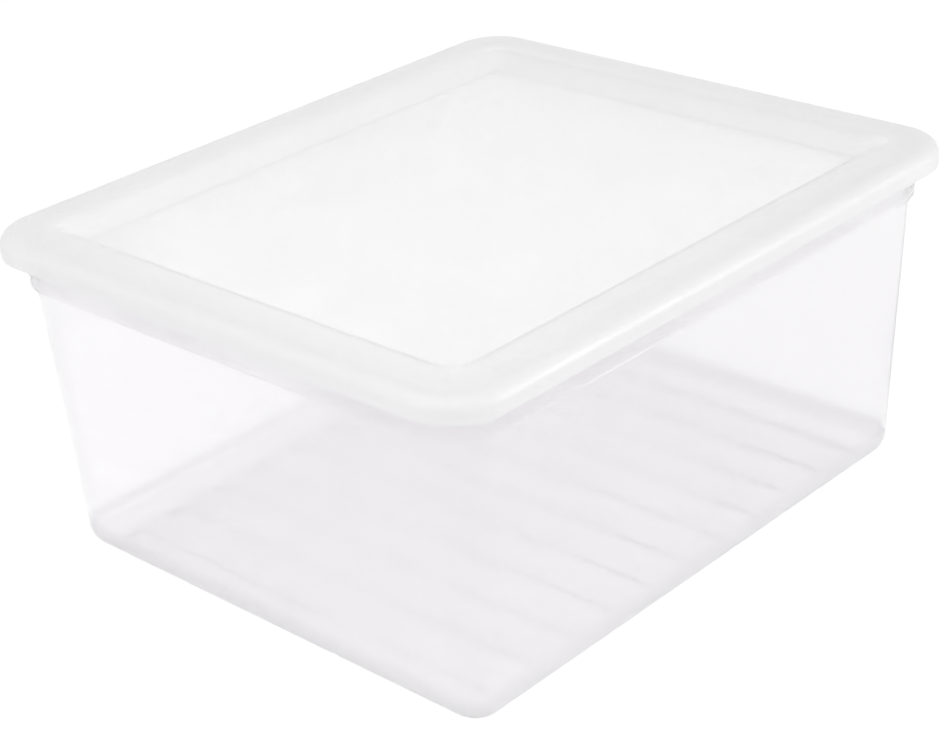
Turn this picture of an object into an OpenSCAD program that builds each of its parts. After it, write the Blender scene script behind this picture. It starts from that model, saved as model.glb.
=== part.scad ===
// Clear moulded storage box with a loose lid.
// X runs along the short side, Y along the long side and Z up.
// The origin is the middle of the base, on the surface that the box stands on.

/* [Overall] */
// Length over the lid, along Y
lid_length = 396; // [300:1:520]
// Width over the lid, along X
lid_width = 338; // [240:1:440]
// Height from the base to the top of the lid
box_height = 188; // [110:1:320]

/* [Tub] */
// Thickness of the walls, the floor and the rim
wall = 1.8; // [1.2:0.1:2.4]
// Set-back of the collar's face from the edge of the lid
collar_inset = 9.5; // [9:0.5:14]
// Corner radius of the collar's face
collar_radius = 28; // [27:0.5:36]
// Depth of the collar below the top of the rim
collar_depth = 27.5; // [14:0.5:34]
// Gap between the back of the collar and the wall
collar_gap = 1; // [0.8:0.1:2]
// How far each wall leans in from the foot of the collar to the base
wall_lean = 9.5; // [3:0.5:10]
// Radius of the rounded foot round the base
foot_radius = 14; // [8:0.5:15]
// Depth of the rim's turned-down lip
rim_lip = 8; // [6:0.5:10]

/* [Floor ribs] */
// Distance from one rib to the next
rib_pitch = 30.4; // [18:0.2:60]
// Width of a rib
rib_width = 16; // [8:0.5:17]
// Height of a rib above the floor
rib_height = 1.8; // [0.8:0.1:3]
// Flat strip left between the ribs and the foot
rib_margin = 2; // [1:0.5:12]

/* [Lid] */
// Thickness of the lid
lid_wall = 2; // [1.4:0.1:2.4]
// Corner radius of the lid's edge
lid_radius = 30; // [26:0.5:36]
// Radius of the lid's rolled edge
lid_roll = 8; // [6:0.5:8.5]
// Depth of the skirt below the top of the lid
skirt_depth = 13.5; // [12:0.5:18]
// Width of the frame round the recess
frame_width = 26; // [23:0.5:32]
// Width of the slope that leads down to the panel
slope_width = 14; // [9:0.5:20]
// Depth of the panel below the frame
panel_depth = 9.5; // [4:0.5:12]
// Corner radius of the panel
panel_radius = 4; // [3:0.5:10]
// Radius at the top and the foot of the slope
slope_round = 4; // [1:0.5:6]

/* [Fit] */
// Gap between the rim and the skirt, all round
skirt_gap = 2; // [1:0.25:2.5]
// Gap between the locating rib and the mouth of the tub
mouth_gap = 0.6; // [0.4:0.1:1.5]
// Thickness of the locating rib under the lid
locator_wall = 1.5; // [1:0.1:2]
// Depth of the locating rib below the rim
locator_depth = 6; // [3:0.5:12]

/* [Hidden] */

$fn = 64;
// Segments in a quarter turn of a profile, and in one flank of a floor rib
ARC_STEPS = 8;
FLANK_STEPS = 5;
// Spare length that carries a cut clear of the solid it cuts
SPARE = 1;
// How much larger the rim's roll is than one that follows the lid's roll
ROLL_LEAD = 0.5;

// Outlines lie in a plane through the corner centre, with X measured outwards from it
corner_inset = collar_inset + collar_radius;
rim_z = box_height - lid_wall;
rim_x = corner_inset - lid_wall - skirt_gap;
// The rim's roll starts inside the lid's roll, so that the two stay apart
rim_roll = lid_roll - lid_wall - skirt_gap + ROLL_LEAD;
collar_foot_z = rim_z - collar_depth;
// The wall stands upright behind the collar and leans below it
wall_top_x = collar_radius - wall - collar_gap;
wall_foot_x = wall_top_x - wall_lean;
lean_angle = atan(wall_lean / collar_foot_z);
base_x = wall_foot_x - foot_radius / tan((90 + lean_angle) / 2);

flat_half_x = lid_width / 2 - corner_inset + base_x;
flat_half_y = lid_length / 2 - corner_inset + base_x;
// Centres of a rib's domed ends, on a whole millimetre
rib_end_x = floor(flat_half_x - rib_margin - rib_width / 2);
rib_room_y = 2 * (flat_half_y - rib_margin) - rib_width;
rib_count = floor(rib_room_y / rib_pitch) + 1;

frame_radius = panel_radius + slope_width;
basin_inset = frame_width + frame_radius;
panel_z = box_height - panel_depth;
// The slope's underside stands off square to the slope, by the thickness of the lid
slope_angle = atan(panel_depth / slope_width);
slope_shift = lid_wall * tan(slope_angle / 2);
// Run over which the recess rises clear of the frame, beyond its rounded crest
crest_run = slope_round + lid_wall + 2 * SPARE;

// Direction from one point to another
function toward(from, to) = (to - from) / norm(to - from);

// Points that round the corner b, between its neighbours a and c
function rounded_corner(a, b, c, radius) =
    let (u = toward(b, a),
         v = toward(b, c),
         half = acos(u * v) / 2,
         centre = b + toward([0, 0], u + v) * radius / sin(half),
         start = b + u * radius / tan(half) - centre,
         turn = (u.x * v.y - u.y * v.x > 0 ? -1 : 1) * (180 - 2 * half),
         steps = max(2, ceil(ARC_STEPS * abs(turn) / 90)))
    [for (i = [0 : steps])
        let (angle = turn * i / steps)
        centre + [start.x * cos(angle) - start.y * sin(angle), start.x * sin(angle) + start.y * cos(angle)]];

// Outline through corners given as [x, z, radius], sharp at both of its ends
function outline(corners) =
    let (last = len(corners) - 1, p = [for (c = corners) [c[0], c[1]]])
    [for (i = [0 : last])
        each (i == 0 || i == last || corners[i][2] == 0)
            ? [p[i]]
            : rounded_corner(p[i - 1], p[i], p[i + 1], corners[i][2])];

// Straight run of a section, centred on the origin, that faces along X
module run(points, length) {
    rotate([90, 0, 0])
        linear_extrude(length, center = true)
            polygon(points);
}

// Body with a rounded rectangular plan: one outline run along each side and turned round each corner
module rounded_body(points, inset) {
    half_x = lid_width / 2 - inset;
    half_y = lid_length / 2 - inset;
    low = points[0].y;
    high = points[len(points) - 1].y;
    translate([-half_x, -half_y, low])
        cube([2 * half_x, 2 * half_y, high - low]);
    for (side = [0, 1]) {
        mirror([side, 0, 0])
            translate([half_x, 0, 0])
                run(points, 2 * half_y);
        mirror([0, side, 0])
            translate([0, half_y, 0])
                rotate([0, 0, 90])
                    run(points, 2 * half_x);
        for (end = [0, 1])
            mirror([side, 0, 0])
                mirror([0, end, 0])
                    translate([half_x, half_y, 0])
                        rotate_extrude(angle = 90)
                            polygon(points);
    }
}

// The wall, the collar and the rim's lip hang side by side from the rim, like the teeth of a comb
function tub_outside() = outline([
    [0, 0, 0],
    [wall_foot_x, 0, foot_radius],
    [wall_top_x, collar_foot_z, 0],
    [wall_top_x, rim_z - wall, 0],
    [collar_radius - wall, rim_z - wall, 0],
    [collar_radius - wall, collar_foot_z, 0],
    [collar_radius, collar_foot_z, 0],
    [collar_radius, rim_z - wall, 0],
    [rim_x - wall, rim_z - wall, rim_roll - wall],
    [rim_x - wall, rim_z - rim_lip, 0],
    [rim_x, rim_z - rim_lip, 0],
    [rim_x, rim_z, rim_roll],
    [0, rim_z, 0]]);

function tub_inside() = outline([
    [0, wall, 0],
    [wall_foot_x - wall, wall, foot_radius - wall],
    [wall_top_x - wall, collar_foot_z, 0],
    [wall_top_x - wall, rim_z + SPARE, 0],
    [0, rim_z + SPARE, 0]]);

// Height of a floor rib at a distance from its centre line, as a smooth wave
function rib_rise(x) = rib_height * (1 + cos(360 * x / rib_width)) / 2;

function rib_outline() =
    let (xs = [for (i = [0 : FLANK_STEPS]) rib_width / 2 * i / FLANK_STEPS])
    concat([for (x = xs) [x, rib_rise(x)]],
           [for (i = [FLANK_STEPS : -1 : 0]) [xs[i], rib_rise(xs[i]) + wall]]);

// Hollow floor rib with domed ends, pressed up out of the floor
module floor_rib() {
    for (side = [0, 1])
        mirror([0, side, 0])
            rotate([0, 0, 90])
                run(rib_outline(), 2 * rib_end_x);
    for (end = [0, 1])
        mirror([end, 0, 0])
            translate([rib_end_x, 0, 0])
                rotate([0, 0, -90])
                    rotate_extrude(angle = 180)
                        polygon(rib_outline());
}

// Slot in the floor under a rib, which the flanks of the rib close
module rib_slot() {
    half = rib_width / 2 - wall / 2;
    translate([0, 0, -SPARE])
        linear_extrude(wall + 2 * SPARE) {
            square([2 * rib_end_x, 2 * half], center = true);
            for (end = [-1, 1])
                translate([end * rib_end_x, 0])
                    circle(half);
        }
}

module at_each_rib() {
    for (i = [0 : rib_count - 1])
        translate([0, (i - (rib_count - 1) / 2) * rib_pitch, 0])
            children();
}

module tub() {
    color("white", 0.35) {
        difference() {
            rounded_body(tub_outside(), corner_inset);
            rounded_body(tub_inside(), corner_inset);
            at_each_rib()
                rib_slot();
        }
        at_each_rib()
            floor_rib();
    }
}

function lid_outside() = outline([
    [0, box_height - skirt_depth, 0],
    [lid_radius, box_height - skirt_depth, 0],
    [lid_radius, box_height, lid_roll],
    [0, box_height, 0]]);

function lid_inside() = outline([
    [0, box_height - skirt_depth - SPARE, 0],
    [lid_radius - lid_wall, box_height - skirt_depth - SPARE, 0],
    [lid_radius - lid_wall, rim_z, lid_roll - lid_wall],
    [0, rim_z, 0]]);

// Plain upright block under an outline's corner system, from one height to another
function block(x, low, high) = [[0, low], [x, low], [x, high], [0, high]];

// Hollow over the panel, whose side rolls over into the frame at its top
function recess() = outline([
    [0, panel_z, 0],
    [panel_radius, panel_z, slope_round],
    [frame_radius, box_height, slope_round + lid_wall],
    [frame_radius + crest_run, box_height + SPARE, 0],
    [0, box_height + SPARE, 0]]);

// The panel and the slope as a block, which leaves their thickness when the recess is cut out of it
function basin() = outline([
    [0, panel_z - lid_wall, 0],
    [panel_radius + slope_shift, panel_z - lid_wall, slope_round + lid_wall],
    [frame_radius + slope_shift, rim_z, slope_round],
    [frame_radius + slope_shift + crest_run, rim_z + SPARE, 0],
    [0, rim_z + SPARE, 0]]);

// Rib under the frame that drops into the mouth of the tub and centres the lid
module locating_rib() {
    outer = wall_top_x - wall - mouth_gap;
    difference() {
        rounded_body(block(outer, rim_z - locator_depth, rim_z + lid_wall / 2), corner_inset);
        rounded_body(block(outer - locator_wall, rim_z - locator_depth - SPARE, box_height + SPARE), corner_inset);
    }
}

module lid() {
    color("whitesmoke", 0.6) {
        difference() {
            rounded_body(lid_outside(), lid_radius);
            difference() {
                rounded_body(lid_inside(), lid_radius);
                rounded_body(basin(), basin_inset);
            }
            rounded_body(recess(), basin_inset);
        }
        locating_rib();
    }
}

tub();
lid();
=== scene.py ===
"""Looks for a clear moulded storage box with a milky lid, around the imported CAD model.

Both mouldings are built again here as fine shells with exact normals, because clear plastic shows
every facet. Lengths in the profiles are millimetres, as in the part's source, and become metres when
a mesh is made.
"""

import math

import bpy
import numpy as np
from mathutils import Matrix, Vector


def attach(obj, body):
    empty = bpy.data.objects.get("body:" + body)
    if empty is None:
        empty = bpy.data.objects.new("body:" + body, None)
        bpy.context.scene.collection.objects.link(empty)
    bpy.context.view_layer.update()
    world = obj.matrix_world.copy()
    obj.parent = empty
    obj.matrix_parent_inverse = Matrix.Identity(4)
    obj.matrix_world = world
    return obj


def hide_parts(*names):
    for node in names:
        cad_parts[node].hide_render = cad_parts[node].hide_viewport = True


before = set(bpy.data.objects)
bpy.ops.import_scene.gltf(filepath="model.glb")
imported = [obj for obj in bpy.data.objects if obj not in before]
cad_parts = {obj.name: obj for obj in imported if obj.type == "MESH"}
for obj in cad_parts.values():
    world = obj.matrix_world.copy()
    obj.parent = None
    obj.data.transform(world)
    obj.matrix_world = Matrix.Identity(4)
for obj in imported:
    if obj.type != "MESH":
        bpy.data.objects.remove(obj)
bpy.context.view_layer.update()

MM = 0.001

# Sizes, as in the part's source
LID_LENGTH = 396.0
LID_WIDTH = 338.0
BOX_HEIGHT = 188.0

WALL = 1.8
COLLAR_INSET = 9.5
COLLAR_RADIUS = 28.0
COLLAR_DEPTH = 27.5
COLLAR_GAP = 1.0
WALL_LEAN = 9.5
FOOT_RADIUS = 14.0
RIM_LIP = 8.0

RIB_PITCH = 30.4
RIB_WIDTH = 16.0
RIB_HEIGHT = 1.8
RIB_COUNT = 11
RIB_END = 124.0

LID_WALL = 2.0
LID_RADIUS = 30.0
LID_ROLL = 8.0
SKIRT_DEPTH = 13.5
FRAME_WIDTH = 26.0
SLOPE_WIDTH = 14.0
PANEL_DEPTH = 9.5
PANEL_RADIUS = 4.0
SLOPE_ROUND = 4.0

SKIRT_GAP = 2.0
MOUTH_GAP = 0.6
LOCATOR_WALL = 1.5
LOCATOR_DEPTH = 6.0
ROLL_LEAD = 0.5

HALF_W = LID_WIDTH / 2
HALF_L = LID_LENGTH / 2
CORNER_INSET = COLLAR_INSET + COLLAR_RADIUS
RIM_Z = BOX_HEIGHT - LID_WALL
RIM_X = CORNER_INSET - LID_WALL - SKIRT_GAP
RIM_ROLL = LID_ROLL - LID_WALL - SKIRT_GAP + ROLL_LEAD
COLLAR_FOOT_Z = RIM_Z - COLLAR_DEPTH
WALL_TOP_X = COLLAR_RADIUS - WALL - COLLAR_GAP
WALL_FOOT_X = WALL_TOP_X - WALL_LEAN
FRAME_RADIUS = PANEL_RADIUS + SLOPE_WIDTH
BASIN_INSET = FRAME_WIDTH + FRAME_RADIUS
PANEL_Z = BOX_HEIGHT - PANEL_DEPTH
SLOPE_SHIFT = LID_WALL * math.tan(math.atan(PANEL_DEPTH / SLOPE_WIDTH) / 2)

# Radius that takes the sharpness off an edge of a moulding
EDGE = 0.35
# Radius at the foot of the collar, and where its face meets the rim
COLLAR_ROUND = 0.8
# Radius at the inner edge of the tub's mouth
MOUTH_ROUND = 0.7
# Radius at the root of the locating rib
LOCATOR_ROUND = 0.6
# Radius of the soft bend where the wall begins to lean
BEND = 60.0

# Steps in a quarter turn of the plan's corner, of a profile's arc, and of an arc no larger than the
# small radius
CORNER_STEPS = 22
PROFILE_STEPS = 14
SMALL_STEPS = 8
SMALL_RADIUS = 2.0
# Length that leads a profile on past its last arc, and is dropped again
LEAD = 20.0

# The floor's grid: its lines along half a rib, and how many more lie over a domed end and a flank
RUN_LINES = [0, 30, 60, 90, 112, 119]
DOME_LINES = 9
FLANK_LINES = 7
# Strip inside the floor's edge that takes no line but the edge itself
EDGE_STRIP = 0.5
# Distance within which a point counts as on the edge
CLOSE = 1e-6


# Profiles
def unit(v):
    return v / np.linalg.norm(v)


def profile(corners, inset):
    """Rows of [inset of the corner centre, distance out from it, z, normal out, normal z].

    They run through rounded corners with the plastic on their left, and the normals point to the right.
    """
    pts = [np.array(c[:2], float) for c in corners]
    last = len(corners) - 1
    rows = []
    for i, here in enumerate(pts):
        if i in (0, last):
            along = unit(pts[1] - here) if i == 0 else unit(here - pts[i - 1])
            rows.append([inset, here[0], here[1], along[1], -along[0]])
            continue
        u, v = unit(pts[i - 1] - here), unit(pts[i + 1] - here)
        half = math.acos(float(np.clip(u @ v, -1, 1))) / 2
        radius = corners[i][2]
        centre = here + unit(u + v) * radius / math.sin(half)
        start = here + u * radius / math.tan(half) - centre
        left = u[0] * v[1] - u[1] * v[0] > 0
        turn = (-1 if left else 1) * (math.pi - 2 * half)
        # the normal points away from the centre where the profile turns round plastic, and to it in a hollow
        away = 1 if turn > 0 else -1
        per_quarter = PROFILE_STEPS if radius > SMALL_RADIUS else SMALL_STEPS
        steps = max(2, math.ceil(per_quarter * abs(turn) / (math.pi / 2)))
        for k in range(steps + 1):
            a = turn * k / steps
            p = np.array([start[0] * math.cos(a) - start[1] * math.sin(a),
                          start[0] * math.sin(a) + start[1] * math.cos(a)])
            normal = away * p / radius
            rows.append([inset, centre[0] + p[0], centre[1] + p[1], normal[0], normal[1]])
    return rows


def ring_points(row, xs, ys):
    """One closed ring of a rounded rectangle, anticlockwise from the low end of the side that faces +X."""
    inset, out, z, nx, nz = row
    half_w, half_l = HALF_W - inset, HALF_L - inset
    pos, nor = [], []

    def put(x, y, dx, dy):
        pos.append((x, y, z))
        nor.append((nx * dx, nx * dy, nz))

    def corner(sx, sy, first):
        for k in range(1, CORNER_STEPS):
            a = first + math.pi / 2 * k / CORNER_STEPS
            dx, dy = math.cos(a), math.sin(a)
            put(sx * half_w + out * dx, sy * half_l + out * dy, dx, dy)

    for y in ys:
        put(half_w + out, y * half_l, 1, 0)
    corner(1, 1, 0)
    for x in xs[::-1]:
        put(x * half_w, half_l + out, 0, 1)
    corner(-1, 1, math.pi / 2)
    for y in ys[::-1]:
        put(-half_w - out, y * half_l, -1, 0)
    corner(-1, -1, math.pi)
    for x in xs:
        put(x * half_w, -half_l - out, 0, -1)
    corner(1, -1, -math.pi / 2)
    return pos, nor


class Shell:
    """Collects vertices with their normals, and faces."""

    def __init__(self):
        self.pos, self.nor, self.faces = [], [], []

    def add(self, pos, nor):
        first = len(self.pos)
        self.pos.extend(pos)
        self.nor.extend(nor)
        return list(range(first, first + len(pos)))

    def face(self, *corners):
        seen = []
        for c in corners:
            if c not in seen:
                seen.append(c)
        if len(seen) > 2:
            self.faces.append(seen)

    def sweep(self, rows, xs, ys):
        """Carries a profile round the plan: a closed ring of vertices for each row, and faces between."""
        rings = [self.add(*ring_points(row, xs, ys)) for row in rows]
        for a, b in zip(rings, rings[1:]):
            for i in range(len(a)):
                j = (i + 1) % len(a)
                self.face(a[i], a[j], b[j], b[i])

    def object(self, name, material):
        mesh = bpy.data.meshes.new(name)
        co = np.array(self.pos) * MM
        mesh.from_pydata(co.tolist(), [], self.faces)
        mesh.materials.append(material)
        mesh.polygons.foreach_set("use_smooth", [True] * len(self.faces))
        mesh.update()
        normals = np.array(self.nor, float)
        normals /= np.linalg.norm(normals, axis=1)[:, None]
        mesh.normals_split_custom_set_from_vertices(normals.tolist())
        ob = bpy.data.objects.new(name, mesh)
        bpy.context.scene.collection.objects.link(ob)
        return ob


def sides(step_list):
    """Fractions from -1 to 1, symmetric, from a list of positive ones."""
    s = sorted(set(round(v, 6) for v in step_list))
    return np.array([-v for v in s[::-1] if v > 0] + s)


# Tub
def rib_rise(x, y):
    """Height and slope of the floor's ribs at a point."""
    half_span = (RIB_COUNT - 1) / 2
    k = np.clip(np.round(y / RIB_PITCH), -half_span, half_span)
    dx = np.sign(x) * np.maximum(np.abs(x) - RIB_END, 0)
    dy = y - k * RIB_PITCH
    d = np.hypot(dx, dy)
    inside = d < RIB_WIDTH / 2
    angle = 2 * math.pi * d / RIB_WIDTH
    rise = np.where(inside, RIB_HEIGHT * (1 + np.cos(angle)) / 2, 0)
    slope = np.where(inside, -RIB_HEIGHT * math.pi / RIB_WIDTH * np.sin(angle), 0)
    safe = np.maximum(d, 1e-9)
    return rise, slope * dx / safe, slope * dy / safe


def build_tub(material):
    shell = Shell()
    half_w, half_l = HALF_W - CORNER_INSET, HALF_L - CORNER_INSET
    # the grid's lines lie close together where the ribs rise and where they end
    dome = [RIB_END + RIB_WIDTH / 2 * k / DOME_LINES for k in range(DOME_LINES)]
    xs = sides([x / half_w for x in RUN_LINES + dome + [half_w]])
    ys = [0]
    for k in range(RIB_COUNT // 2 + 1):
        mid = k * RIB_PITCH
        ys += [abs(mid + RIB_WIDTH / 2 * j / FLANK_LINES) for j in range(-FLANK_LINES, FLANK_LINES + 1)]
        ys += [mid + RIB_PITCH / 2]
    ys = sides([y / half_l for y in ys if y < half_l - EDGE_STRIP] + [1])
    under_rim = RIM_Z - WALL
    lip_foot_z = RIM_Z - RIM_LIP
    section = profile(
        [[0, 0, 0], [WALL_FOOT_X, 0, FOOT_RADIUS], [WALL_TOP_X, COLLAR_FOOT_Z, BEND],
         [WALL_TOP_X, under_rim, EDGE], [COLLAR_RADIUS - WALL, under_rim, EDGE],
         [COLLAR_RADIUS - WALL, COLLAR_FOOT_Z, COLLAR_ROUND], [COLLAR_RADIUS, COLLAR_FOOT_Z, COLLAR_ROUND],
         [COLLAR_RADIUS, under_rim, COLLAR_ROUND], [RIM_X - WALL, under_rim, RIM_ROLL - WALL],
         [RIM_X - WALL, lip_foot_z, EDGE], [RIM_X, lip_foot_z, EDGE], [RIM_X, RIM_Z, RIM_ROLL],
         [WALL_TOP_X - WALL, RIM_Z, MOUTH_ROUND], [WALL_TOP_X - WALL, COLLAR_FOOT_Z, BEND],
         [WALL_FOOT_X - WALL, WALL, FOOT_RADIUS - WALL], [0, WALL, 0]], CORNER_INSET)
    shell.sweep(section, xs, ys)
    # two sheets with ribs close the ends of the profile
    gx, gy = np.meshgrid(xs * half_w, ys * half_l, indexing="ij")
    rise, sx, sy = rib_rise(gx, gy)
    edge = (np.abs(np.abs(gx) - half_w) < CLOSE) | (np.abs(np.abs(gy) - half_l) < CLOSE)
    rise, sx, sy = (np.where(edge, 0, v) for v in (rise, sx, sy))
    sheet(shell, gx, gy, rise, sx, sy, -1)
    sheet(shell, gx, gy, WALL + rise, sx, sy, 1)
    return weld(shell).object("tub_shell", material)


def sheet(shell, gx, gy, z, slope_x, slope_y, up):
    """A grid of quads that faces up or down, from its heights and slopes."""
    pos = np.stack([gx, gy, z + 0 * gx], -1).reshape(-1, 3)
    nor = np.stack([-up * slope_x + 0 * gx, -up * slope_y + 0 * gx, up + 0 * gx], -1).reshape(-1, 3)
    grid = np.array(shell.add(pos.tolist(), nor.tolist())).reshape(gx.shape)
    for i in range(gx.shape[0] - 1):
        for j in range(gx.shape[1] - 1):
            quad = [int(v) for v in (grid[i, j], grid[i + 1, j], grid[i + 1, j + 1], grid[i, j + 1])]
            shell.face(*(quad if up > 0 else quad[::-1]))


def weld(shell):
    """Joins vertices at one place, such as those of a corner of no radius."""
    pos = np.round(np.array(shell.pos), 5)
    _, first, inverse = np.unique(pos, axis=0, return_index=True, return_inverse=True)
    inverse = inverse.reshape(-1)
    out = Shell()
    out.pos = [shell.pos[i] for i in first]
    out.nor = [shell.nor[i] for i in first]
    for f in shell.faces:
        out.face(*[int(inverse[i]) for i in f])
    return out


# Lid
def build_lid(material):
    shell = Shell()
    xs = sides([0, 0.25, 0.5, 0.75, 1])
    ys = sides([0, 0.2, 0.4, 0.6, 0.8, 1])
    skirt = profile(
        [[0, RIM_Z, 0], [LID_RADIUS - LID_WALL, RIM_Z, LID_ROLL - LID_WALL],
         [LID_RADIUS - LID_WALL, BOX_HEIGHT - SKIRT_DEPTH, EDGE],
         [LID_RADIUS, BOX_HEIGHT - SKIRT_DEPTH, EDGE],
         [LID_RADIUS, BOX_HEIGHT, LID_ROLL], [0, BOX_HEIGHT, 0]], LID_RADIUS)[1:-1]
    over = profile(
        [[FRAME_RADIUS + LEAD, BOX_HEIGHT, 0], [FRAME_RADIUS, BOX_HEIGHT, SLOPE_ROUND + LID_WALL],
         [PANEL_RADIUS, PANEL_Z, SLOPE_ROUND], [0, PANEL_Z, 0]], BASIN_INSET)[1:]
    under = profile(
        [[0, PANEL_Z - LID_WALL, 0],
         [PANEL_RADIUS + SLOPE_SHIFT, PANEL_Z - LID_WALL, SLOPE_ROUND + LID_WALL],
         [FRAME_RADIUS + SLOPE_SHIFT, RIM_Z, SLOPE_ROUND],
         [FRAME_RADIUS + LEAD, RIM_Z, 0]], BASIN_INSET)[:-1]
    outer = WALL_TOP_X - WALL - MOUTH_GAP
    inner = outer - LOCATOR_WALL
    low = RIM_Z - LOCATOR_DEPTH
    locator = profile(
        [[0, RIM_Z, 0], [inner, RIM_Z, LOCATOR_ROUND], [inner, low, EDGE], [outer, low, EDGE],
         [outer, RIM_Z, LOCATOR_ROUND], [outer + LEAD, RIM_Z, 0]], CORNER_INSET)[1:-1]
    shell.sweep(under + locator + skirt + over, xs, ys)
    # two plain sheets make the panel
    gx, gy = np.meshgrid(xs * (HALF_W - BASIN_INSET), ys * (HALF_L - BASIN_INSET), indexing="ij")
    sheet(shell, gx, gy, PANEL_Z - LID_WALL, 0, 0, -1)
    sheet(shell, gx, gy, PANEL_Z, 0, 0, 1)
    return weld(shell).object("lid_shell", material)


# Materials
IOR_POLYPROPYLENE = 1.49
# Drift in roughness over the surface, and the stretch of the noise's values that carries it
DRIFT_SCALE = 22
DRIFT_DETAIL = 4
DRIFT_SPAN = (0.3, 0.7)
# Faint flow in the surface: its height in metres, and the noise that it follows
GRAIN_DEPTH = 0.00001
GRAIN_DETAIL = 3
GRAIN_DISTORTION = 0.4

# Heights in metres between which the tub's zones fade in: the floor with its foot, the rounded foot
# alone from above and from below, where a greyer colour is painted shade, and the collar with the rim
FLOOR_ZONE = (0.021, 0.013)
FOOT_SHADE_TOP = (0.017, 0.012)
FOOT_SHADE_BASE = (0.0035, 0.006)
COLLAR_ZONE = (0.1575, 0.1585)
# How far the frame's zone reaches on to the lid's slope and the run over which it fades, and how far
# the crease's painted shade reaches on to the panel and the run over which each of its sides fades, in
# millimetres
FRAME_SPILL = 2
FRAME_FADE = 3
CREASE_SHADE_REACH = 1.2
CREASE_SHADE_FADE = 0.8


def new_material(name):
    mat = bpy.data.materials.new(name)
    mat.use_nodes = True
    tree = mat.node_tree
    return mat, tree, tree.nodes["Principled BSDF"]


def noise(tree, scale, detail, distort=0.0):
    coord = tree.nodes.new("ShaderNodeTexCoord")
    tex = tree.nodes.new("ShaderNodeTexNoise")
    tex.inputs["Scale"].default_value = scale
    tex.inputs["Detail"].default_value = detail
    tex.inputs["Distortion"].default_value = distort
    tree.links.new(coord.outputs["Object"], tex.inputs["Vector"])
    return tex.outputs["Fac"]


def feed(tree, socket, value):
    """Links a socket to another one, or sets it to a plain value."""
    if isinstance(value, bpy.types.NodeSocket):
        tree.links.new(value, socket)
    else:
        socket.default_value = value


def ramp(tree, source, start, end, low=0.0, high=1.0):
    """Carries a value from one range over to another, held at the ends. Low and high may be sockets."""
    node = tree.nodes.new("ShaderNodeMapRange")
    node.inputs["From Min"].default_value = start
    node.inputs["From Max"].default_value = end
    for name, value in (("To Min", low), ("To Max", high)):
        feed(tree, node.inputs[name], value)
    tree.links.new(source, node.inputs["Value"])
    return node.outputs["Result"]


def combine(tree, operation, *values):
    """Puts one or two values through an operation."""
    node = tree.nodes.new("ShaderNodeMath")
    node.operation = operation
    for value, socket in zip(values, node.inputs):
        tree.links.new(value, socket)
    return node.outputs[0]


def place_axes(tree):
    coord = tree.nodes.new("ShaderNodeTexCoord")
    split = tree.nodes.new("ShaderNodeSeparateXYZ")
    tree.links.new(coord.outputs["Object"], split.inputs[0])
    return split.outputs


def foot_shade_and_collar(tree):
    """Masks by height: the tub's floor with its foot, the rounded foot alone, which takes painted shade, and
    the collar and rim.
    """
    z = place_axes(tree)["Z"]
    foot = combine(tree, "MULTIPLY", ramp(tree, z, *FOOT_SHADE_TOP), ramp(tree, z, *FOOT_SHADE_BASE))
    return [ramp(tree, z, *FLOOR_ZONE), foot, ramp(tree, z, *COLLAR_ZONE)]


def frame_and_crease_shade(tree):
    """Masks of the lid's frame, and of the painted shade along the thin crease at the foot of the slope."""
    axes = place_axes(tree)

    def beyond(inset, run):
        reach = []
        for name, half in (("X", HALF_W), ("Y", HALF_L)):
            away = combine(tree, "ABSOLUTE", axes[name])
            reach.append(ramp(tree, away, (half - inset) * MM, (half - inset + run) * MM))
        return combine(tree, "MAXIMUM", *reach)

    foot = FRAME_WIDTH + SLOPE_WIDTH
    crease_shade = combine(tree, "SUBTRACT", beyond(foot + CREASE_SHADE_REACH, CREASE_SHADE_FADE), beyond(foot, CREASE_SHADE_FADE))
    return [beyond(FRAME_WIDTH + FRAME_SPILL, FRAME_FADE), crease_shade]


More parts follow.
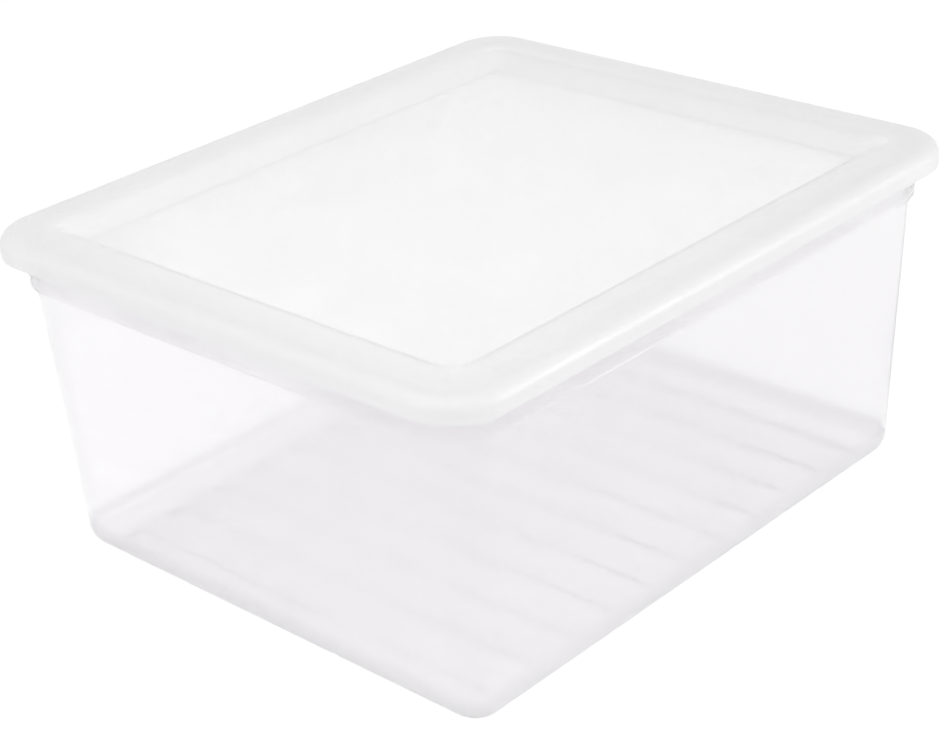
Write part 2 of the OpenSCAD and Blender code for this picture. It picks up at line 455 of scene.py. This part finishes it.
def plastic(name, masks, zones, grain, depth_colour, density, lamp_tint):
    """Moulded polypropylene: part of the light goes through it and part is scattered.

    A zone is a colour, a clear share and a range of roughness, and each zone after the first covers its
    own mask. Light from the lamps, and light that a matt surface gathers, passes straight through with
    a slight tint, so that the inside is lit as it is in life.
    """
    mat, tree, bsdf = new_material(name)
    colour, clear, (low, high) = zones[0]
    colour = (*colour, 1)
    for mask, (zone_colour, zone_clear, (zone_low, zone_high)) in zip(masks(tree), zones[1:]):
        node = tree.nodes.new("ShaderNodeMix")
        node.data_type = "RGBA"
        tree.links.new(mask, node.inputs["Factor"])
        # a mix node has sockets of the same name for each type of value, and these three are the colours
        feed(tree, node.inputs[6], colour)
        feed(tree, node.inputs[7], (*zone_colour, 1))
        colour = node.outputs[2]
        clear = ramp(tree, mask, 0, 1, clear, zone_clear)
        low = ramp(tree, mask, 0, 1, low, zone_low)
        high = ramp(tree, mask, 0, 1, high, zone_high)
    tree.links.new(colour, bsdf.inputs["Base Color"])
    tree.links.new(clear, bsdf.inputs["Transmission Weight"])
    bsdf.inputs["IOR"].default_value = IOR_POLYPROPYLENE
    drift = noise(tree, DRIFT_SCALE, DRIFT_DETAIL)
    tree.links.new(ramp(tree, drift, *DRIFT_SPAN, low, high), bsdf.inputs["Roughness"])
    bump = tree.nodes.new("ShaderNodeBump")
    bump.inputs["Strength"].default_value = 1.0
    bump.inputs["Distance"].default_value = GRAIN_DEPTH
    tree.links.new(noise(tree, grain, GRAIN_DETAIL, GRAIN_DISTORTION), bump.inputs["Height"])
    tree.links.new(bump.outputs["Normal"], bsdf.inputs["Normal"])
    path = tree.nodes.new("ShaderNodeLightPath")
    either = combine(tree, "MAXIMUM", path.outputs["Is Shadow Ray"], path.outputs["Is Diffuse Ray"])
    through = tree.nodes.new("ShaderNodeBsdfTransparent")
    through.inputs["Color"].default_value = (lamp_tint, lamp_tint, lamp_tint, 1)
    mix = tree.nodes.new("ShaderNodeMixShader")
    tree.links.new(either, mix.inputs[0])
    tree.links.new(bsdf.outputs[0], mix.inputs[1])
    tree.links.new(through.outputs[0], mix.inputs[2])
    out = tree.nodes["Material Output"]
    tree.links.new(mix.outputs[0], out.inputs["Surface"])
    body = tree.nodes.new("ShaderNodeVolumeAbsorption")
    body.inputs["Color"].default_value = (*depth_colour, 1)
    body.inputs["Density"].default_value = density
    tree.links.new(body.outputs[0], out.inputs["Volume"])
    return mat


clear_plastic = plastic(
    "clear_polypropylene", foot_shade_and_collar,
    [((0.986, 0.981, 0.987), 0.975, (0.05, 0.10)),
     ((0.999, 0.994, 1.000), 0.87, (0.34, 0.42)),
     # the rounded foot's zone: its greyer colour is painted shade along the foot
     ((0.955, 0.948, 0.957), 0.60, (0.40, 0.48)),
     ((0.999, 0.995, 1.000), 0.97, (0.15, 0.23))],
    grain=30, depth_colour=(0.50, 0.45, 0.51), density=18.5, lamp_tint=0.988)
milky_plastic = plastic(
    "frosted_polypropylene", frame_and_crease_shade,
    [((0.998, 0.996, 0.998), 0.60, (0.24, 0.32)),
     ((0.920, 0.914, 0.922), 0.35, (0.34, 0.42)),
     # the crease's zone: its darker colour is painted shade along the foot of the slope
     ((0.870, 0.862, 0.872), 0.45, (0.32, 0.40))],
    grain=220, depth_colour=(0.50, 0.48, 0.50), density=11, lamp_tint=0.97)

tub = build_tub(clear_plastic)
lid = build_lid(milky_plastic)

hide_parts("tub")
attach(tub, "tub")
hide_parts("lid")
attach(lid, "lid")


# Studio
# Half the floor's side, and its height just below the base, in metres
FLOOR_REACH = 6.0
FLOOR_Z = -0.0004


def background_rays(tree):
    """1 for the rays that should meet the plain white background.

    They are the camera's, and those that come off gloss or go through it.
    """
    rays = tree.nodes.new("ShaderNodeLightPath").outputs
    either = combine(tree, "MAXIMUM", rays["Is Camera Ray"], rays["Is Glossy Ray"])
    return combine(tree, "MAXIMUM", either, rays["Is Transmission Ray"])


def make_world(ambient):
    world = bpy.data.worlds.new("studio")
    bpy.context.scene.world = world
    world.use_nodes = True
    tree = world.node_tree
    back = tree.nodes["Background"]
    back.inputs["Color"].default_value = (1, 1, 1, 1)
    tree.links.new(ramp(tree, background_rays(tree), 0, 1, ambient, 1), back.inputs["Strength"])


def make_floor(colour, glow_behind, glow_seen):
    """A wide floor that glows a little towards the rays that see it, through the box or straight."""
    mesh = bpy.data.meshes.new("studio_floor")
    s, z = FLOOR_REACH, FLOOR_Z
    mesh.from_pydata([(-s, -s, z), (s, -s, z), (s, s, z), (-s, s, z)], [], [(0, 1, 2, 3)])
    floor = bpy.data.objects.new("studio_floor", mesh)
    bpy.context.scene.collection.objects.link(floor)
    mat, tree, bsdf = new_material("studio_floor")
    bsdf.inputs["Base Color"].default_value = (*colour, 1)
    bsdf.inputs["Roughness"].default_value = 0.9
    bsdf.inputs["Specular IOR Level"].default_value = 0.0
    bsdf.inputs["Emission Color"].default_value = (1, 1, 1, 1)
    seen = tree.nodes.new("ShaderNodeLightPath").outputs["Is Camera Ray"]
    behind = ramp(tree, background_rays(tree), 0, 1, 0, glow_behind)
    tree.links.new(ramp(tree, seen, 0, 1, behind, glow_seen), bsdf.inputs["Emission Strength"])
    mesh.materials.append(mat)


def soft_light(name, place, target, size, watts):
    data = bpy.data.lights.new(name, "AREA")
    data.shape = "RECTANGLE"
    data.size, data.size_y = size
    data.energy = watts
    ob = bpy.data.objects.new(name, data)
    place, target = Vector(place), Vector(target)
    turn = (target - place).to_track_quat("-Z", "Y").to_matrix().to_4x4()
    ob.matrix_world = Matrix.Translation(place) @ turn
    ob.visible_transmission = False
    bpy.context.scene.collection.objects.link(ob)


# Camera fitted to the outline in the photo: its place in metres, its angles in degrees, and its focal
# length in pixels of a picture of the width given here
IMAGE_WIDTH = 944
CAMERA_PLACE = (0.7505, -0.7928, 0.6192)
CAMERA_AZIMUTH = 43.91
CAMERA_ELEVATION = 26.55
CAMERA_ROLL = -3.56
FOCAL_PIXELS = 2239.1


def make_camera():
    a, e = math.radians(CAMERA_AZIMUTH), math.radians(CAMERA_ELEVATION)
    back = Vector((math.sin(a) * math.cos(e), -math.cos(a) * math.cos(e), math.sin(e)))
    level = Vector((math.cos(a), math.sin(a), 0))
    right = Matrix.Rotation(math.radians(CAMERA_ROLL), 3, back) @ level
    up = back.cross(right)
    turn = Matrix((right, up, back)).transposed().to_4x4()
    data = bpy.data.cameras.new("camera")
    data.sensor_fit = "HORIZONTAL"
    data.sensor_width = 36.0
    data.lens = FOCAL_PIXELS / IMAGE_WIDTH * data.sensor_width
    data.clip_start = 0.02
    data.clip_end = 50
    ob = bpy.data.objects.new("camera", data)
    ob.matrix_world = Matrix.Translation(CAMERA_PLACE) @ turn
    bpy.context.scene.collection.objects.link(ob)
    bpy.context.scene.camera = ob


make_world(ambient=0.72)
make_floor(colour=(0.9, 0.9, 0.9), glow_behind=0.242, glow_seen=0.27)
soft_light("top_light", place=(0.2, -0.65, 0.78), target=(0.05, -0.05, 0.18), size=(1.2, 0.7), watts=2.4)
soft_light("side_light", place=(1.70, 1.02, 0.42), target=(0.17, 0, 0.18), size=(0.55, 0.6), watts=8.5)
soft_light("front_light", place=(-0.7, -1.6, 0.5), target=(0, 0, 0.15), size=(1.2, 0.7), watts=1.2)
soft_light("back_light", place=(-0.75, 0.85, 0.85), target=(0, 0, 0.18), size=(0.9, 0.5), watts=0.8)
make_camera()

scene = bpy.context.scene
scene.view_settings.view_transform = "Standard"
scene.cycles.use_denoising = True
scene.cycles.denoising_input_passes = "RGB"
# a ray crosses many walls of clear plastic, so it is let go on for long
scene.cycles.max_bounces = 32
scene.cycles.transmission_bounces = 32
scene.cycles.glossy_bounces = 16
scene.cycles.diffuse_bounces = 6
scene.cycles.transparent_max_bounces = 32
